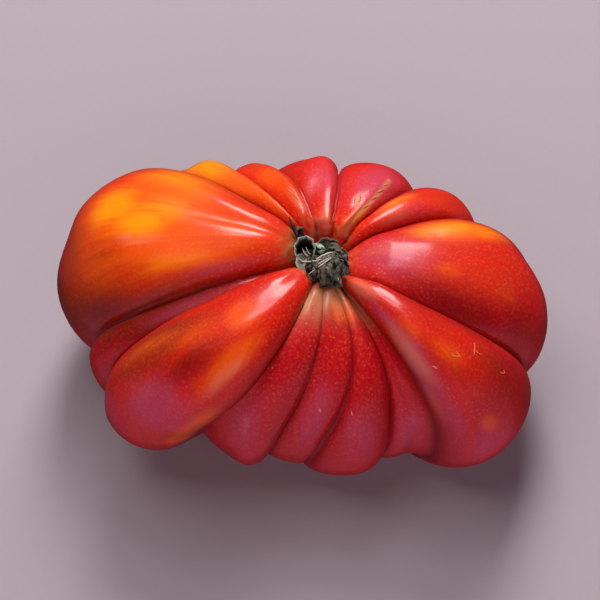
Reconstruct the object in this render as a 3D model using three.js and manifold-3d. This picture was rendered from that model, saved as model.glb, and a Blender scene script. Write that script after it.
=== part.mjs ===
// A ribbed beefsteak tomato as picked, resting on its blossom end, with the dried calyx in its stalk cavity.
// Millimetres, +Z up. The origin is on the ground, under the middle of the whole.
import * as THREE from 'three';
import { mergeVertices } from 'three/addons/utils/BufferGeometryUtils.js';
import Module from 'manifold-3d';

const wasm = await Module();
wasm.setup();

// Place of the stalk's axis, from the origin
const STALK = { x: 4.73, y: 0 };

// Stalk cavity and blossom end
const CAVITY_FLOOR = 48;
const CAVITY_RADIUS = 4;
const BLOSSOM_HOLLOW = 3;
const FOOT_FLAT = 0.6; // how far each foot is pressed flat by the fruit's weight

// Stations along a meridian, from the stalk (0) to the blossom scar (1)
const CAVITY_EDGE = 0.05;
const SHOULDER = 0.22;
const WAIST = 0.62;
const FOOT = 0.88;

// Fullness of the rounds above and below the waist, and of a lobe across its width
const UPPER_FULLNESS = 2.3;
const LOWER_FULLNESS = 2.3;
const LOBE_FULLNESS = 2.3;

// Least share of a lobe's width between its crest and either crease
const CREST_MARGIN = 0.2;

// Station above which a crest keeps its azimuth at the stalk, and half the step that a slope is taken over
const CREST_TURN = 0.1;
const SLOPE_STEP = 0.004;

// Lobes, counterclockwise from the right. Azimuth is the crest's, at the stalk and at the waist. Reach is
// the crest's radius at the waist, top its height at the shoulder radius, and knuckle how round its inner
// end is. Columns is the number of the mesh's meridians on the lobe.
const LOBES = [
  { azimuth: [-6, -3], reach: 56.5, top: 54, shoulder: 18, knuckle: 0.3, waist: 27, foot: 24, columns: 10 },
  { azimuth: [32, 36], reach: 45.5, top: 53, shoulder: 16, knuckle: 0.4, waist: 27, foot: 21, columns: 6 },
  { azimuth: [48, 64], reach: 41, top: 54.5, shoulder: 9.5, knuckle: 0.5, waist: 28, foot: 19, columns: 6 },
  { azimuth: [76, 96], reach: 40.5, top: 54.5, shoulder: 9, knuckle: 0.5, waist: 28, foot: 19, columns: 6 },
  { azimuth: [110, 118], reach: 42, top: 55, shoulder: 10.5, knuckle: 0.6, waist: 28, foot: 19, columns: 6 },
  { azimuth: [130, 133], reach: 50.5, top: 55, shoulder: 13, knuckle: 0.8, waist: 28, foot: 21, columns: 6 },
  { azimuth: [163, 161], reach: 66.5, top: 56.5, shoulder: 19, knuckle: 1, waist: 28, foot: 27, columns: 12 },
  { azimuth: [204, 196], reach: 58, top: 50, shoulder: 16, knuckle: 0.2, waist: 26, foot: 26, columns: 6 },
  { azimuth: [230, 209], reach: 59, top: 55.5, shoulder: 19, knuckle: 1, waist: 25, foot: 21, columns: 10 },
  { azimuth: [266, 241], reach: 42, top: 51.5, shoulder: 12, knuckle: 0.6, waist: 23, foot: 18, columns: 6 },
  { azimuth: [285, 262], reach: 37.5, top: 50, shoulder: 10, knuckle: 0.4, waist: 23, foot: 17, columns: 6 },
  { azimuth: [299, 283], reach: 41.5, top: 49.5, shoulder: 10, knuckle: 0.4, waist: 23, foot: 18,
    columns: 6 },
  { azimuth: [304, 302], reach: 40.5, top: 47, shoulder: 12, knuckle: 0.4, waist: 23, foot: 18, columns: 5 },
  { azimuth: [312, 325], reach: 57.5, top: 55, shoulder: 20, knuckle: 0.5, waist: 25, foot: 23, columns: 10 },
];

// Crease after each lobe. Azimuth is given at four stations from the stalk down, and depth at three.
// Soft is 0 for a sharp fold and 1 for a shallow wave.
const CREASE_STATIONS = [0.08, 0.32, WAIST, 0.9];
const DEPTH_STATIONS = [0, 0.12, SHOULDER + 0.05, WAIST, 0.85, 1];
const CAVITY_DEPTH = 0.5; // share of its shoulder's depth that a crease has at the second station
const CREASES = [
  { azimuth: [27, 25, 24, 24], depth: [5, 8.5, 3], soft: 0.1 },
  { azimuth: [37, 46, 49, 49], depth: [3, 6.5, 2], soft: 0.2 },
  { azimuth: [58, 78, 82, 82], depth: [3, 7, 2], soft: 0.1 },
  { azimuth: [94, 106, 111, 111], depth: [1.8, 4, 1.5], soft: 0.5 },
  { azimuth: [126, 126, 127, 128], depth: [3, 5, 2], soft: 0.1 },
  { azimuth: [134, 140, 140, 141], depth: [3, 3.2, 1.5], soft: 0.3 },
  { azimuth: [200, 196, 190, 187], depth: [4.5, 11, 5], soft: 0 },
  { azimuth: [208, 204, 203, 202], depth: [3, 6, 3], soft: 0.1 },
  { azimuth: [260, 249, 229, 214], depth: [4, 9, 5], soft: 0 },
  { azimuth: [276, 270, 253, 243], depth: [1, 4, 1.5], soft: 0.2 },
  { azimuth: [294, 290, 270, 258], depth: [1.1, 4, 1.5], soft: 0.1 },
  { azimuth: [303, 302, 296, 294], depth: [1.5, 4.5, 1.5], soft: 0.1 },
  { azimuth: [305, 305.5, 308.5, 309], depth: [1.5, 4, 1.5], soft: 0.1 },
  { azimuth: [322, 331, 341, 345], depth: [4, 7.5, 3], soft: 0 },
];

// Shallow furrows along the large lobes. Half width is in degrees of azimuth.
const FURROWS = [
  { azimuth: [162, 158], halfWidth: 6, from: 0.08, to: 0.42, depth: 1.2 },
  { azimuth: [226, 220], halfWidth: 6, from: 0.3, to: 0.72, depth: 1.2 },
  { azimuth: [8, 8], halfWidth: 7, from: 0.4, to: 0.75, depth: 1.3 },
  { azimuth: [312, 317], halfWidth: 5, from: 0.36, to: 0.72, depth: 0.9 },
];

// Low waves all over the skin: height, waves round the axis, half waves down a meridian, phase
const RIPPLES = [
  { height: 0.35, round: 5, down: 5, phase: 0.7 },
  { height: 0.25, round: 9, down: 8, phase: 2.1 },
  { height: 0.15, round: 17, down: 11, phase: 4.4 },
];

// Fineness of the fruit's mesh from stalk to scar, and how far its columns crowd towards the creases
const ROWS = 46;
const CROWDING = 0.6;

// Calyx: the gap between it and the fruit, and the cushion that stalk and sepals grow from
const GAP = 0.3;
const CUSHION = { at: [0.4, -3.2, 49.4], half: [6.4, 4.6, 2.9], turn: -35, sides: 18, steps: 10 };

// The stalk's broken stub: an oval hollow tube that leans towards an azimuth, with a torn, slanting rim.
// Floor is the height where its bore ends. Torn is the height of the rim's teeth, and turn where they begin.
// Waist says how much the tube narrows halfway, and flare how much it widens at the rim.
const STUB = {
  base: [-3.2, 0.6, 48.4],
  outer: [2.45, 2.75],
  wall: 0.65,
  height: 5.9,
  floor: 1.6,
  lean: 15,
  towards: 254,
  slant: 1.1,
  torn: 0.3,
  teeth: 3,
  turn: 57,
  waist: 0.12,
  flare: 0.08,
  sides: 20,
  steps: 3,
};

// Shrivelled sepals: root, middle and tip of each one's middle line, width, thickness, roll about that line,
// curl across the width, and height of the crumples. Blunt is the share of the width that the tip keeps.
const SEPALS = [
  { line: [[-3.2, 2.2, 49.5], [-5.9, 4.7, 52.9], [-7.4, 7, 56.1]],
    width: 1.5, thickness: 0.7, roll: 30, curl: 120, crumple: 0.1, blunt: 0 },
  { line: [[-2.4, 2, 50], [-4.6, 4.2, 51.4], [-5, 5.2, 54.3]],
    width: 3.2, thickness: 0.9, roll: -10, curl: 170, crumple: 0.3, blunt: 0.6 },
  { line: [[0.6, 2.2, 49.6], [0.6, 0.6, 52.4], [1.1, -1.2, 54.3]],
    width: 5.6, thickness: 0.6, roll: 100, curl: 240, crumple: 0.1, blunt: 0.8 },
  { line: [[-0.6, 1.2, 49.6], [1.5, 2.5, 52.4], [4.3, 1.7, 52.9]],
    width: 3.4, thickness: 0.6, roll: 40, curl: 70, crumple: 0.2, blunt: 0.4 },
  { line: [[0.8, 0.2, 50.2], [2.8, 0.2, 53.2], [4.5, -1, 53.1]],
    width: 3, thickness: 0.6, roll: -40, curl: 120, crumple: 0.2, blunt: 0.5 },
  { line: [[-2, -1, 49.6], [-4.3, -3, 51.8], [-3.8, -6.2, 50.6]],
    width: 3.6, thickness: 0.7, roll: 15, curl: 90, crumple: 0.2, blunt: 0.5 },
  { line: [[0, -1.6, 51], [-1.2, -4.8, 53.6], [-2.4, -7.6, 50.4]],
    width: 5, thickness: 0.8, roll: 10, curl: 80, crumple: 0.4, blunt: 0.4 },
  { line: [[0.4, -1.4, 51.4], [0.8, -5.6, 54.2], [1.2, -9.4, 50.6]],
    width: 5.6, thickness: 0.8, roll: -5, curl: 70, crumple: 0.4, blunt: 0.5 },
  { line: [[1, -1.4, 51.4], [3, -5.6, 54], [4.4, -9.6, 51]],
    width: 5.4, thickness: 0.8, roll: 10, curl: 100, crumple: 0.4, blunt: 0.5 },
  { line: [[1.4, -0.8, 51], [4.8, -4, 53.6], [6.6, -7.4, 52.6]],
    width: 4.6, thickness: 0.7, roll: 25, curl: 150, crumple: 0.3, blunt: 0.5 },
  { line: [[1.2, -0.2, 50.4], [4.4, -1.8, 52.8], [5.8, -5, 51.2]],
    width: 4.2, thickness: 0.7, roll: -15, curl: 110, crumple: 0.3, blunt: 0.4 },
];
const LINE_STATIONS = [0, 0.5, 1];
const LINE_STEP = 0.01; // half the step that a middle line's direction is taken over
const WIDEST = 0.37; // where a sepal is widest, as a share of its length
const TOWARDS_ROOT = 0.7; // less than 1 moves a sepal's widest place towards its root
const SEPAL_FULLNESS = 0.6; // less than 1 makes a sepal's outline fuller
const CRUMPLES = { along: 7, across: 3 }; // waves of a sepal's crumples, as angles in radians
const SEPAL_ENDS = [0.03, 0.97]; // shares of a sepal's length where its first and last rings stand
const SEPAL_STEPS = 8;
const SEPAL_POINTS = 5; // points across a sepal's upper side

// Corners closer than this are one
const SAME_PLACE = 1e-4;

const RADIANS = Math.PI / 180;

// Value at station v of a line that eases from one given value to the next
function ease(v, stations, values) {
  let result = values[0];
  for (let k = 1; k < values.length; k++) {
    const x = THREE.MathUtils.clamp((v - stations[k - 1]) / (stations[k] - stations[k - 1]), 0, 1);
    result += (values[k] - values[k - 1]) * (1 - Math.cos(Math.PI * x)) / 2;
  }
  return result;
}

// Value at station v of one smooth curve through all the given values
function through(v, stations, values) {
  const at = THREE.MathUtils.clamp(v, stations[0], stations[stations.length - 1]);
  return values.reduce((sum, value, k) => {
    const weight = stations.reduce((product, other, j) => (
      j === k ? product : product * (at - other) / (stations[k] - other)), 1);
    return sum + value * weight;
  }, 0);
}

// Radius and height of a lobe's crest at station v
function crest(lobe, v) {
  if (v <= CAVITY_EDGE) {
    return [CAVITY_RADIUS * v / CAVITY_EDGE, CAVITY_FLOOR];
  }
  if (v <= SHOULDER) {
    const x = (v - CAVITY_EDGE) / (SHOULDER - CAVITY_EDGE);
    const out = THREE.MathUtils.lerp(x, 1 - Math.cos(Math.PI * x / 2), lobe.knuckle);
    const up = THREE.MathUtils.lerp((1 - Math.cos(Math.PI * x)) / 2, Math.sin(Math.PI * x / 2), lobe.knuckle);
    return [
      THREE.MathUtils.lerp(CAVITY_RADIUS, lobe.shoulder, out),
      THREE.MathUtils.lerp(CAVITY_FLOOR, lobe.top, up),
    ];
  }
  if (v <= WAIST) {
    const t = (v - SHOULDER) / (WAIST - SHOULDER) * Math.PI / 2;
    return [
      THREE.MathUtils.lerp(lobe.shoulder, lobe.reach, Math.sin(t)),
      THREE.MathUtils.lerp(lobe.waist, lobe.top, Math.max(Math.cos(t), 0) ** (2 / UPPER_FULLNESS)),
    ];
  }
  if (v <= FOOT) {
    const t = (v - WAIST) / (FOOT - WAIST) * Math.PI / 2;
    return [
      THREE.MathUtils.lerp(lobe.foot, lobe.reach, Math.max(Math.cos(t), 0) ** (2 / LOWER_FULLNESS)),
      lobe.waist * (1 - Math.sin(t)),
    ];
  }
  const x = (1 - v) / (1 - FOOT);
  return [lobe.foot * x, BLOSSOM_HOLLOW * (1 - x * x) ** 2];
}

// Outward normal, in the meridian's plane, of an outline given as a function of the station
function outlineNormal(outline, v) {
  if (v === 0 || v === 1) {
    return [0, 1 - 2 * v];
  }
  const [r0, z0] = outline(Math.max(v - SLOPE_STEP, 0));
  const [r1, z1] = outline(Math.min(v + SLOPE_STEP, 1));
  const length = Math.hypot(r1 - r0, z1 - z0);
  return [(z0 - z1) / length, (r1 - r0) / length];
}

// Radius and height of the crease after lobe k at station v: the mean of its neighbours, drawn inward
function crease(k, v) {
  const before = LOBES[k];
  const after = LOBES[(k + 1) % LOBES.length];
  const mean = (at) => {
    const [r0, z0] = crest(before, at);
    const [r1, z1] = crest(after, at);
    return [(r0 + r1) / 2, (z0 + z1) / 2];
  };
  const [r, z] = mean(v);
  const [nr, nz] = outlineNormal(mean, v);
  const [top, rim, foot] = CREASES[k].depth;
  const depth = ease(v, DEPTH_STATIONS, [0, CAVITY_DEPTH * top, top, rim, foot, 0]);
  return [r - depth * nr, z - depth * nz];
}

// How deep the furrows lie, less the skin's low waves, at an azimuth in degrees and a station
function relief(azimuth, v) {
  let depth = 0;
  for (const furrow of FURROWS) {
    const middle = ease(v, [CREST_TURN, WAIST], furrow.azimuth);
    const off = THREE.MathUtils.euclideanModulo(azimuth - middle + 180, 360) - 180;
    const along = THREE.MathUtils.clamp((v - furrow.from) / (furrow.to - furrow.from), 0, 1);
    depth += furrow.depth * Math.exp(-((off / furrow.halfWidth) ** 2)) * Math.sin(Math.PI * along) ** 2;
  }
  const fade = Math.sin(Math.PI * v) ** 2;
  for (const ripple of RIPPLES) {
    const wave = Math.sin(ripple.round * azimuth * RADIANS + ripple.phase + ripple.down * Math.PI * v);
    depth -= fade * ripple.height * wave;
  }
  return depth;
}

// Point of the skin on lobe k, at s from -1 (crease before) over 0 (crest) to 1 (crease after), at station v
function skin(k, s, v, grow) {
  const last = (k + LOBES.length - 1) % LOBES.length;
  const side = s < 0 ? last : k;
  const before = through(v, CREASE_STATIONS, CREASES[last].azimuth) - (k === 0 ? 360 : 0);
  const after = through(v, CREASE_STATIONS, CREASES[k].azimuth);
  const middle = THREE.MathUtils.clamp(
    ease(v, [CREST_TURN, WAIST], LOBES[k].azimuth),
    THREE.MathUtils.lerp(before, after, CREST_MARGIN),
    THREE.MathUtils.lerp(after, before, CREST_MARGIN),
  );
  const azimuth = THREE.MathUtils.lerp(middle, s < 0 ? before : after, Math.abs(s));
  const sharp = Math.sqrt(1 - Math.abs(s) ** LOBE_FULLNESS);
  const wave = (1 + Math.cos(Math.PI * s)) / 2;
  const weight = THREE.MathUtils.lerp(sharp, wave, CREASES[side].soft);
  const outline = (at) => {
    const [r0, z0] = crease(side, at);
    const [r1, z1] = crest(LOBES[k], at);
    return [THREE.MathUtils.lerp(r0, r1, weight), THREE.MathUtils.lerp(z0, z1, weight)];
  };
  const [r, z] = outline(v);
  const [nr, nz] = outlineNormal(outline, v);
  const out = grow - relief(azimuth, v);
  const radius = r + out * nr;
  const height = Math.max(z + out * nz - FOOT_FLAT, 0);
  return [radius * Math.cos(azimuth * RADIANS), radius * Math.sin(azimuth * RADIANS), height];
}

// Places of the fruit's meridians, each as its lobe's number and its s across that lobe
function meridians() {
  return LOBES.flatMap((lobe, k) => Array.from({ length: lobe.columns }, (_, column) => {
    const across = column / lobe.columns * 2 - 1;
    return [k, THREE.MathUtils.lerp(across, Math.sin(across * Math.PI / 2), CROWDING)];
  }));
}

// A closed skin over rings of points, counterclockwise seen from the first. The end rings are single points.
function overRings(rings) {
  const around = rings[1].length;
  const geometry = new THREE.SphereGeometry(1, around, rings.length - 1);
  const position = geometry.attributes.position;
  rings.forEach((ring, row) => {
    for (let column = 0; column <= around; column++) {
      position.setXYZ(row * (around + 1) + column, ...ring[column % ring.length]);
    }
  });
  return welded(geometry);
}

// The fruit's skin, from the stalk to the blossom scar, moved outward by grow
function fruitGeometry(grow) {
  const places = meridians();
  return overRings(Array.from({ length: ROWS + 1 }, (_, row) => (
    places.map(([lobe, s]) => skin(lobe, s, row / ROWS, grow)))));
}

// Geometry with only its positions, with equal corners merged and the triangles that this closes up left out
function welded(geometry) {
  geometry.deleteAttribute('normal');
  geometry.deleteAttribute('uv');
  const merged = mergeVertices(geometry, SAME_PLACE);
  const corners = [];
  for (let first = 0; first < merged.index.count; first += 3) {
    const triangle = [0, 1, 2].map((k) => merged.index.getX(first + k));
    if (new Set(triangle).size === 3) {
      corners.push(...triangle);
    }
  }
  merged.setIndex(corners);
  return merged;
}

function toSolid(geometry) {
  return new wasm.Manifold(new wasm.Mesh({
    numProp: 3,
    vertProperties: new Float32Array(geometry.attributes.position.array),
    triVerts: new Uint32Array(geometry.index.array),
  }));
}

function toGeometry(solid) {
  const { vertProperties, triVerts } = solid.getMesh();
  const geometry = new THREE.BufferGeometry();
  geometry.setAttribute('position', new THREE.BufferAttribute(vertProperties, 3));
  geometry.setIndex(new THREE.BufferAttribute(triVerts, 1));
  return geometry;
}

// Point on a sepal's middle line, from its root (0) to its tip (1)
function onLine(line, t) {
  const axes = [0, 1, 2].map((axis) => through(t, LINE_STATIONS, line.map((corner) => corner[axis])));
  return new THREE.Vector3(...axes);
}

// A sepal: a thin leaf along its middle line, curled across and crumpled, which tapers to root and tip
function sepalGeometry({ line, width, thickness, roll, curl, crumple, blunt }) {
  const turn = curl / 2 * RADIANS;
  const side = new THREE.Vector3();
  const rings = [[line[0]]];
  for (let step = 0; step <= SEPAL_STEPS; step++) {
    const t = THREE.MathUtils.lerp(...SEPAL_ENDS, step / SEPAL_STEPS);
    const along = onLine(line, t + LINE_STEP).sub(onLine(line, t - LINE_STEP)).normalize();
    if (step === 0) {
      side.crossVectors(along, new THREE.Vector3(0, 0, 1)).applyAxisAngle(along, roll * RADIANS);
    }
    side.addScaledVector(along, -side.dot(along)).normalize();
    const face = new THREE.Vector3().crossVectors(side, along);
    const leaf = Math.sin(Math.PI * t ** TOWARDS_ROOT) ** SEPAL_FULLNESS;
    const taper = Math.max(leaf, t > WIDEST ? blunt : 0);
    const radius = width / 2 * taper / turn;
    const place = (across, offset) => {
      const angle = across * turn;
      const crumples = Math.sin(CRUMPLES.along * t + CRUMPLES.across * across + roll);
      const out = offset + crumple * crumples * Math.sin(Math.PI * t);
      return onLine(line, t)
        .addScaledVector(side, (radius + out) * Math.sin(angle))
        .addScaledVector(face, radius - (radius + out) * Math.cos(angle))
        .toArray();
    };
    const across = Array.from({ length: SEPAL_POINTS }, (_, k) => k / (SEPAL_POINTS - 1) * 2 - 1);
    const upper = across.map((share) => place(share, thickness / 2));
    const lower = across.slice(1, -1).reverse().map((share) => place(share, -thickness / 2));
    rings.push([...upper, ...lower]);
  }
  rings.push([line[2]]);
  return overRings(rings);
}

// The lump that stalk and sepals grow from
function cushionGeometry() {
  const geometry = new THREE.SphereGeometry(1, CUSHION.sides, CUSHION.steps);
  geometry.scale(...CUSHION.half);
  geometry.rotateZ(CUSHION.turn * RADIANS);
  geometry.translate(...CUSHION.at);
  return welded(geometry);
}

// The stalk's broken stub, from the floor of its bore up to the rim and down its outside to the base
function stubGeometry() {
  const towards = STUB.towards * RADIANS;
  const axis = new THREE.Vector3(-Math.sin(towards), Math.cos(towards), 0);
  const base = new THREE.Vector3(...STUB.base);
  const stand = (x, y, z) => {
    const leaning = new THREE.Vector3(x, y, z).applyAxisAngle(axis, STUB.lean * RADIANS);
    return leaning.add(base).toArray();
  };
  const ring = (share, inset) => Array.from({ length: STUB.sides }, (_, k) => {
    const angle = k / STUB.sides * 2 * Math.PI;
    const teeth = STUB.torn * Math.cos(STUB.teeth * angle + STUB.turn * RADIANS);
    const rim = STUB.height - STUB.slant * Math.cos(angle - towards) + teeth;
    const spread = 1 - STUB.waist * Math.sin(Math.PI * share) + STUB.flare * share ** 3;
    const [a, b] = STUB.outer.map((half) => half * spread - inset);
    return stand(a * Math.cos(angle), b * Math.sin(angle), share * rim);
  });
  const shares = Array.from({ length: STUB.steps + 1 }, (_, step) => step / STUB.steps);
  const floor = STUB.floor / STUB.height;
  return overRings([
    [stand(0, 0, STUB.floor)],
    ...shares.map((share) => ring(THREE.MathUtils.lerp(floor, 1, share), STUB.wall)),
    ...shares.map((share) => ring(1 - share, 0)),
    [stand(0, 0, 0)],
  ]);
}

// Calyx in one piece, cut to lie on the fruit with the gap kept. Scraps that the cut leaves are dropped.
function calyxGeometry() {
  let calyx = toSolid(cushionGeometry());
  for (const sepal of SEPALS) {
    calyx = calyx.add(toSolid(sepalGeometry(sepal)));
  }
  calyx = calyx.add(toSolid(stubGeometry()));
  const pieces = calyx.subtract(toSolid(fruitGeometry(GAP))).decompose();
  pieces.sort((a, b) => b.volume() - a.volume());
  return toGeometry(pieces[0]);
}

function named(name, geometry, material) {
  const mesh = new THREE.Mesh(geometry, new THREE.MeshStandardMaterial(material));
  mesh.name = name;
  return mesh;
}

const tomato = new THREE.Group();
tomato.add(named('fruit', fruitGeometry(0), { color: 0xc8321e, roughness: 0.3, metalness: 0 }));
tomato.add(named('calyx', calyxGeometry(), { color: 0x4c4639, roughness: 0.9, metalness: 0 }));
tomato.position.set(STALK.x, STALK.y, 0);

export default tomato;
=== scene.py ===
"""A ribbed beefsteak tomato with its dried calyx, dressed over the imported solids. Metres, +Z up."""
import math
from collections import namedtuple

import bpy
import numpy as np
from bpy.props import FloatProperty, FloatVectorProperty, IntProperty, PointerProperty
from mathutils import Matrix, Vector, noise


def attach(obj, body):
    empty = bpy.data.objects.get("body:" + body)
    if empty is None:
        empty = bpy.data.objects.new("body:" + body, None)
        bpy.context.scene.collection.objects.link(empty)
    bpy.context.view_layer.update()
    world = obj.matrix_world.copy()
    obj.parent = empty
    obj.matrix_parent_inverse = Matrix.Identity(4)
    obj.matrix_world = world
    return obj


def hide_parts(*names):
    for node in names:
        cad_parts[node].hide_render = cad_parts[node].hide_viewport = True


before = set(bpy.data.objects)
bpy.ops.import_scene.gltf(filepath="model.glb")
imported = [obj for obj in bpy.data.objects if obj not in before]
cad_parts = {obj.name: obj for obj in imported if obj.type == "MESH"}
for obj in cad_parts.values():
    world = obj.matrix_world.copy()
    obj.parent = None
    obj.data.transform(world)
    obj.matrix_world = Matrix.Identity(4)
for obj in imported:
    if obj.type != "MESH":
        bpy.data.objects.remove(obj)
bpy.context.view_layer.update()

bl_info = {
    "name": "Ribbed tomato",
    "version": (1, 0, 0),
    "blender": (4, 5, 0),
    "location": "View3D > Sidebar > Tomato",
    "description": "Builds a ribbed tomato with its dried calyx, and a plain studio round it",
    "category": "Add Mesh",
}

MM = 0.001

# Form of the fruit, in millimetres and degrees round the stalk's axis, which stands at STALK
STALK = np.array([4.73, 0, 0])
CAVITY_FLOOR = 48
CAVITY_RADIUS = 4
BLOSSOM_HOLLOW = 3
FOOT_FLAT = 0.6

# Stations along a meridian, from the stalk (0) to the blossom scar (1)
CAVITY_EDGE = 0.05
SHOULDER = 0.22
WAIST = 0.62
FOOT = 0.88

# How full the curves are above the waist, below it, and across a lobe: 2 is an ellipse
UPPER_FULLNESS = 2.3
LOWER_FULLNESS = 2.3
LOBE_FULLNESS = 2.3

# Stations where a crest or a furrow leaves its first azimuth and reaches its last
TURN_STATIONS = (0.1, WAIST)

# Least share of a lobe's width between its crest and either crease
CREST_MARGIN = 0.2

# One lobe: azimuth of its crest at stalk and waist, reach, top, radius at the shoulder, how steeply
# it rises there (knuckle), height of the waist, radius of the foot, columns of the plain solid
Lobe = namedtuple("Lobe", "azimuth reach top shoulder knuckle waist foot columns")
LOBES = [
    Lobe((-6, -3), 56.5, 54, 18, 0.3, 27, 24, 10),
    Lobe((32, 36), 45.5, 53, 16, 0.4, 27, 21, 6),
    Lobe((48, 64), 41, 54.5, 9.5, 0.5, 28, 19, 6),
    Lobe((76, 96), 40.5, 54.5, 9, 0.5, 28, 19, 6),
    Lobe((110, 118), 42, 55, 10.5, 0.6, 28, 19, 6),
    Lobe((130, 133), 50.5, 55, 13, 0.8, 28, 21, 6),
    Lobe((163, 161), 66.5, 56.5, 19, 1, 28, 27, 12),
    Lobe((204, 196), 58, 50, 16, 0.2, 26, 26, 6),
    Lobe((230, 209), 59, 55.5, 19, 1, 25, 21, 10),
    Lobe((266, 241), 42, 51.5, 12, 0.6, 23, 18, 6),
    Lobe((285, 262), 37.5, 50, 10, 0.4, 23, 17, 6),
    Lobe((299, 283), 41.5, 49.5, 10, 0.4, 23, 18, 6),
    Lobe((304, 302), 40.5, 47, 12, 0.4, 23, 18, 5),
    Lobe((312, 325), 57.5, 55, 20, 0.5, 25, 23, 10),
]
RIGHT, RIGHT_BACK, BACK_RIGHT, BACK, BACK_LEFT, LEFT_BACK, LEFT = range(7)
LEFT_FRONT, FRONT_LEFT, FRONT_THIRD, FRONT_SECOND, FRONT_FIRST = range(7, 12)
FRONT_SMALL, FRONT_RIGHT = 12, 13

# Crease after each lobe: azimuths at four stations, depths at shoulder, waist and foot, softness
CREASE_STATIONS = (0.08, 0.32, WAIST, 0.9)
# The depths' own stations, with none at either end and half the shoulder's depth in the cavity
DEPTH_STATIONS = (0, 0.12, SHOULDER + 0.05, WAIST, 0.85, 1)
CREASES = [
    ((27, 25, 24, 24), (5, 8.5, 3), 0.1),
    ((37, 46, 49, 49), (3, 6.5, 2), 0.2),
    ((58, 78, 82, 82), (3, 7, 2), 0.1),
    ((94, 106, 111, 111), (1.8, 4, 1.5), 0.5),
    ((126, 126, 127, 128), (3, 5, 2), 0.1),
    ((134, 140, 140, 141), (3, 3.2, 1.5), 0.3),
    ((200, 196, 190, 187), (4.5, 11, 5), 0),
    ((208, 204, 203, 202), (3, 6, 3), 0.1),
    ((260, 249, 229, 214), (4, 9, 5), 0),
    ((276, 270, 253, 243), (1, 4, 1.5), 0.2),
    ((294, 290, 270, 258), (1.1, 4, 1.5), 0.1),
    ((303, 302, 296, 294), (1.5, 4.5, 1.5), 0.1),
    ((305, 305.5, 308.5, 309), (1.5, 4, 1.5), 0.1),
    ((322, 331, 341, 345), (4, 7.5, 3), 0),
]

# Shallow furrows: azimuth at stalk and waist, half width in degrees, stations from and to, depth
FURROWS = [
    ((162, 158), 6, 0.08, 0.42, 1.2),
    ((226, 220), 6, 0.3, 0.72, 1.2),
    ((8, 8), 7, 0.4, 0.75, 1.3),
    ((312, 317), 5, 0.36, 0.72, 0.9),
]

# Low waves all over the skin: height, waves round the axis, half waves down a meridian, phase
RIPPLES = [(0.35, 5, 5, 0.7), (0.25, 9, 8, 2.1), (0.15, 17, 11, 4.4)]

# How far the mesh's columns crowd towards the creases
CROWDING = 0.6

# Step across a lobe or along a meridian that gives the skin's direction
NEAR = 0.02

# Corky ring round the stalk, and the blossom scar with the navel in it, in millimetres
RING_RADIUS = 6
RING_WIDTH = 3.2
SCAR_RADIUS = 4.5
NAVEL_RADIUS = 1.4
NAVEL_DEPTH = 0.5

# Relief in millimetres: folds that run out from the stalk, rough cork, and folds round the scar
FOLD_HEIGHT = 0.09
CORK_HEIGHT = 0.18
SCAR_FOLD_HEIGHT = 0.25

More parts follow.
